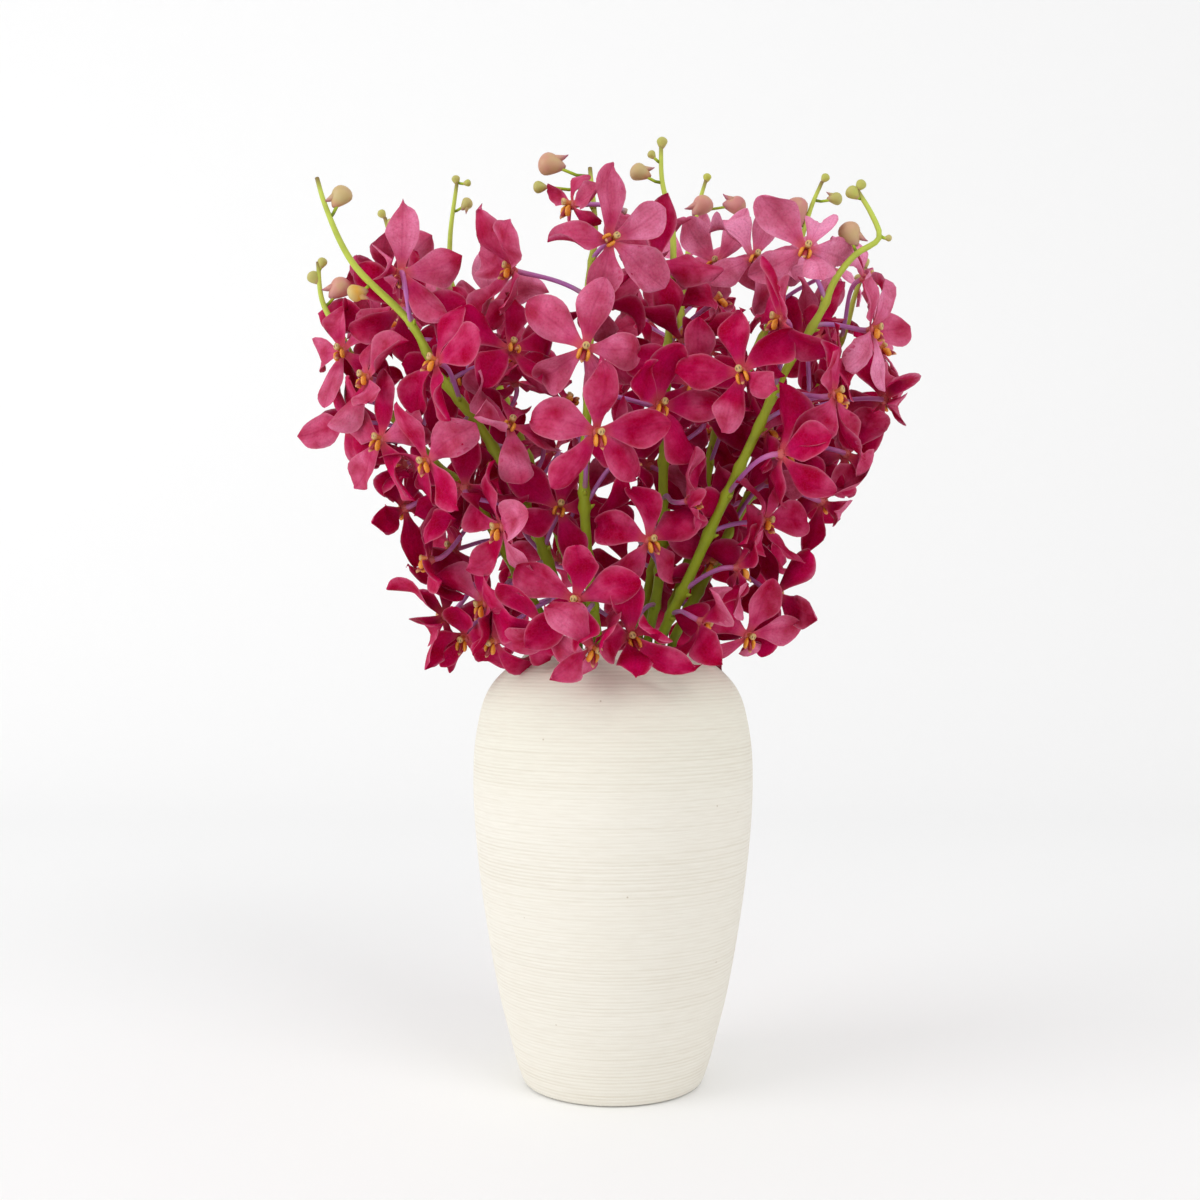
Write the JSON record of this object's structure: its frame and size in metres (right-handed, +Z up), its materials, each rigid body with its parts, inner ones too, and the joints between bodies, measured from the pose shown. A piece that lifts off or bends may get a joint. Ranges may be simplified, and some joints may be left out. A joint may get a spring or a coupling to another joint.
{
  "type": "vase of cut orchids",
  "caption": "Bunch of magenta mokara orchid sprays with tip buds, standing in a round cream ceramic vase with fine turned grooves",
  "frame": {"origin": "centre of the flat foot of the vase, on the surface it stands on", "axes": "+Z up along the vase and the stems, -Y toward the viewer of the picture, +X to the picture's right"},
  "size_m": [0.3553, 0.2795, 0.5614],
  "materials": {
    "vase": "matte",
    "water": "gloss",
    "spray_01": "matte",
    "spray_02": "matte",
    "spray_03": "matte",
    "spray_04": "matte",
    "spray_05": "matte",
    "spray_06": "matte",
    "spray_07": "matte",
    "spray_08": "matte",
    "spray_09": "matte",
    "spray_10": "matte"
  },
  "bodies": {
    "root": {"vase": "vase", "water": "water", "spray_01": "spray_01", "spray_02": "spray_02", "spray_03": "spray_03", "spray_04": "spray_04", "spray_05": "spray_05", "spray_06": "spray_06", "spray_07": "spray_07", "spray_08": "spray_08", "spray_09": "spray_09", "spray_10": "spray_10"}
  },
  "joints": []
}
